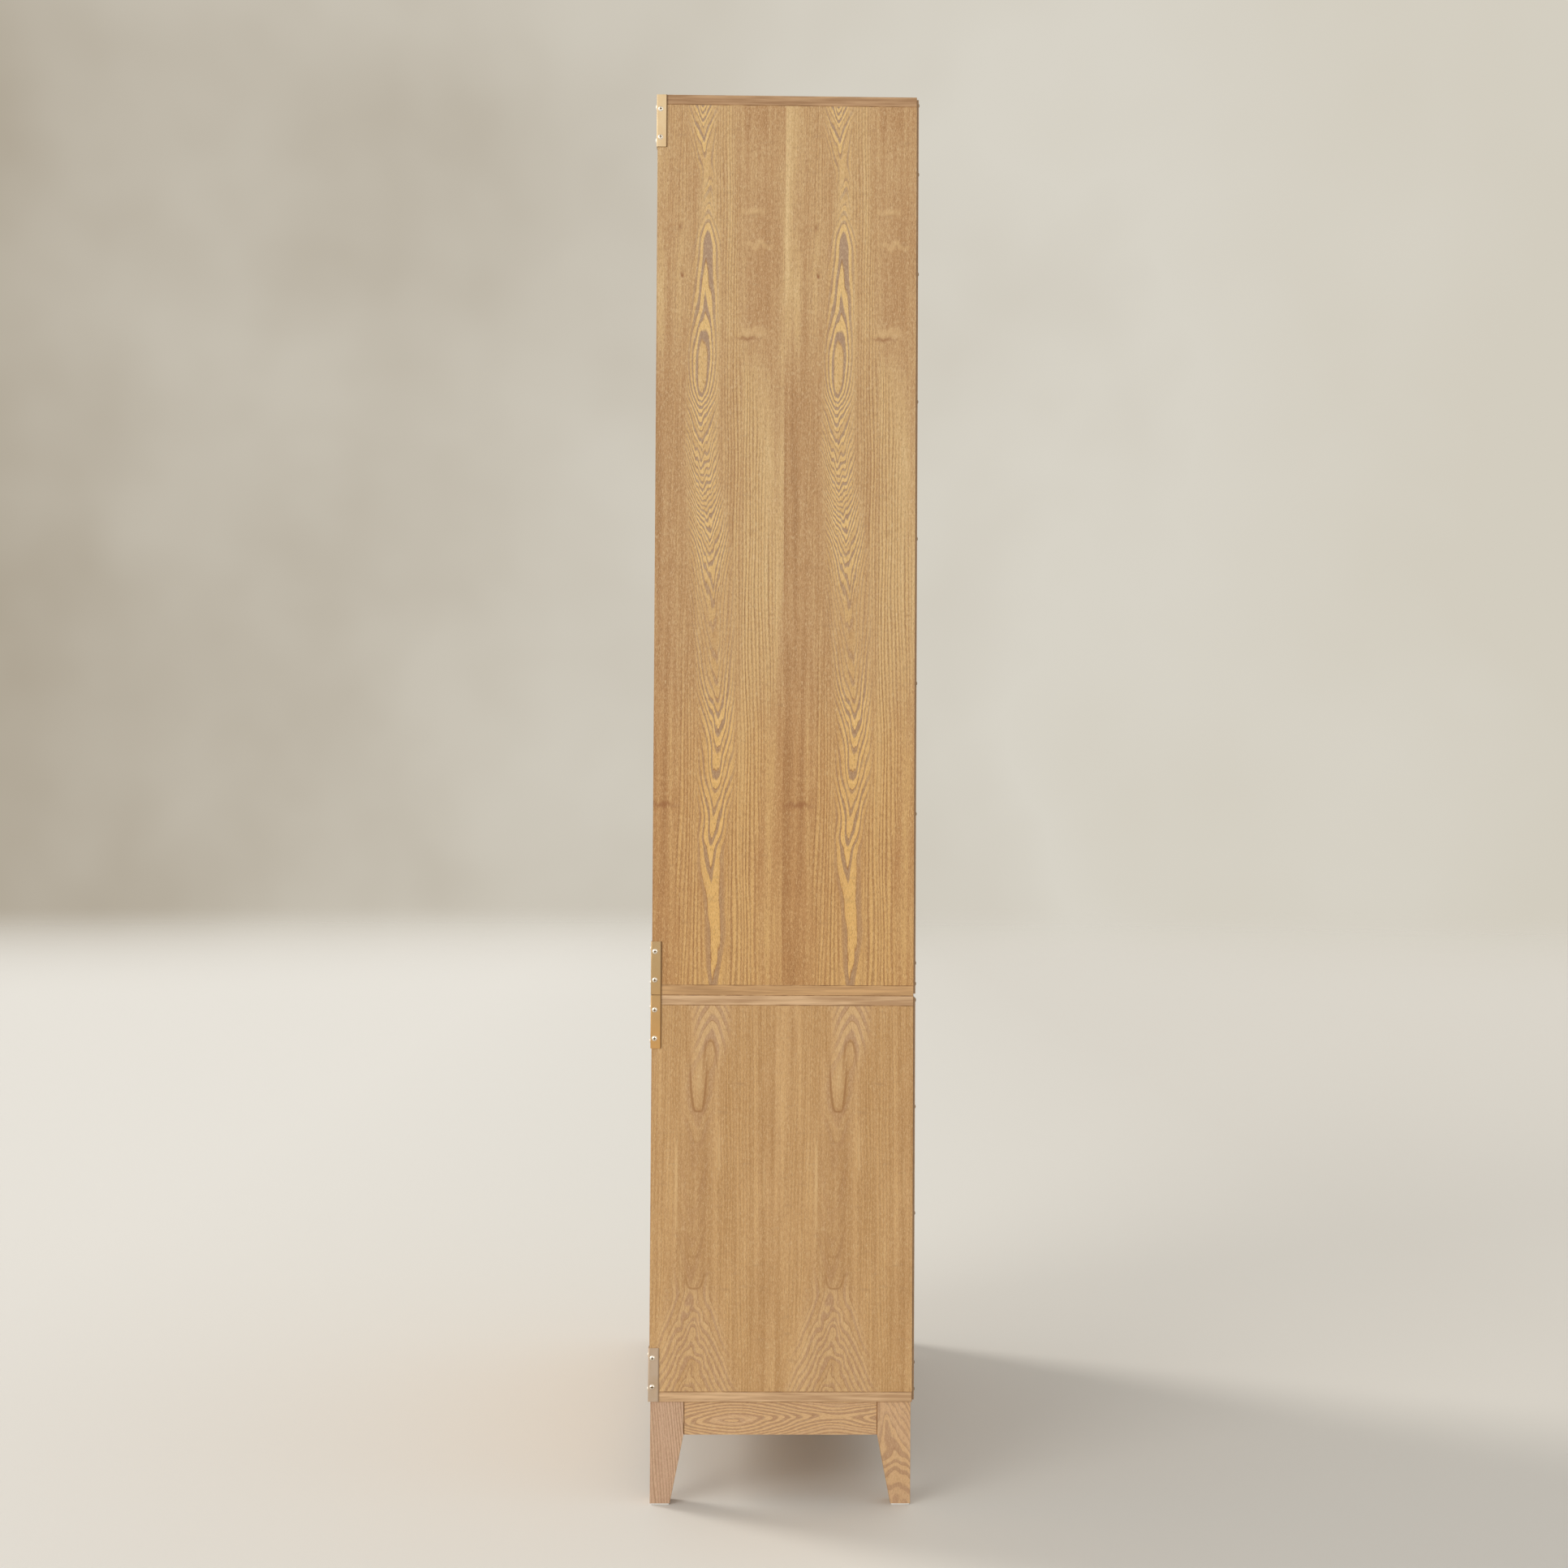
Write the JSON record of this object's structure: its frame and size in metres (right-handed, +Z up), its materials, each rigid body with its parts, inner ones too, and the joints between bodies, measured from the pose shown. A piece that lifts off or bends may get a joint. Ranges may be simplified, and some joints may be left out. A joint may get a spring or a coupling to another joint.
{
  "type": "display cabinet",
  "caption": "Tall stacked display cabinet in ash veneer, with glazed doors above, plain doors below, brass corner brackets and a tapered leg frame.",
  "frame": {"origin": "on the floor, under the middle of the cabinet's box", "axes": "+Z up, -Y towards the front with the doors, +X to the right of someone facing the front"},
  "size_m": [1.0074, 0.42, 2.134],
  "materials": {
    "ash_veneer": "satin lacquer",
    "solid_ash": "satin lacquer",
    "back_board": "raw fibreboard",
    "brass": "satin",
    "steel": "zinc plated",
    "glass": "clear",
    "white_plastic": "matte",
    "catch_plastic": "matte"
  },
  "bodies": {
    "cabinet": {"back_apron": "solid_ash", "back_left_leg": "solid_ash", "back_right_leg": "solid_ash", "back_screws": "steel", "corner_block_screws": "steel", "corner_blocks": "solid_ash", "floor_glides": "white_plastic", "front_apron": "solid_ash", "front_left_leg": "solid_ash", "front_right_leg": "solid_ash", "joining_bolts": "steel", "joint_tongues": "solid_ash", "left_apron": "solid_ash", "lower_back_panel": "back_board", "lower_bottom_board": "ash_veneer", "lower_bracket_screws": "brass", "lower_corner_brackets": "brass", "lower_door_catches": "catch_plastic", "lower_left_side": "ash_veneer", "lower_pivot_plates": "brass", "lower_right_side": "ash_veneer", "lower_shelf": "ash_veneer", "lower_shelf_pins": "brass", "lower_top_board": "ash_veneer", "right_apron": "solid_ash", "upper_back_panel": "back_board", "upper_bottom_board": "ash_veneer", "upper_bracket_screws": "brass", "upper_corner_brackets": "brass", "upper_door_catches": "catch_plastic", "upper_left_side": "ash_veneer", "upper_pivot_plates": "brass", "upper_right_side": "ash_veneer", "upper_shelf_high": "ash_veneer", "upper_shelf_low": "ash_veneer", "upper_shelf_middle": "ash_veneer", "upper_shelf_pins": "brass", "upper_top_board": "ash_veneer"},
    "left_glass_door": {"left_glass_door_bottom_rail": "solid_ash", "left_glass_door_glass": "glass", "left_glass_door_glass_beads": "solid_ash", "left_glass_door_hinge_stile": "solid_ash", "left_glass_door_knob": "brass", "left_glass_door_meeting_stile": "solid_ash", "left_glass_door_strike_plate": "steel", "left_glass_door_top_rail": "solid_ash"},
    "right_glass_door": {"right_glass_door_bottom_rail": "solid_ash", "right_glass_door_glass": "glass", "right_glass_door_glass_beads": "solid_ash", "right_glass_door_hinge_stile": "solid_ash", "right_glass_door_knob": "brass", "right_glass_door_meeting_stile": "solid_ash", "right_glass_door_strike_plate": "steel", "right_glass_door_top_rail": "solid_ash"},
    "left_lower_door": {"left_lower_door_knob": "brass", "left_lower_door_panel": "ash_veneer", "left_lower_door_strike_plate": "steel"},
    "right_lower_door": {"right_lower_door_knob": "brass", "right_lower_door_panel": "ash_veneer", "right_lower_door_strike_plate": "steel"}
  },
  "joints": [
    {"name": "left_glass_door_hinge", "type": "hinge", "parent": "cabinet", "child": "left_glass_door", "pos_m": [-0.4675, -0.183, 0.764], "axis": [0, 0, -1], "range_deg": [0, 110]},
    {"name": "right_glass_door_hinge", "type": "hinge", "parent": "cabinet", "child": "right_glass_door", "pos_m": [0.4675, -0.183, 0.764], "axis": [0, 0, 1], "range_deg": [0, 110]},
    {"name": "left_lower_door_hinge", "type": "hinge", "parent": "cabinet", "child": "left_lower_door", "pos_m": [-0.4675, -0.183, 0.154], "axis": [0, 0, -1], "range_deg": [0, 110]},
    {"name": "right_lower_door_hinge", "type": "hinge", "parent": "cabinet", "child": "right_lower_door", "pos_m": [0.4675, -0.183, 0.154], "axis": [0, 0, 1], "range_deg": [0, 110]}
  ]
}
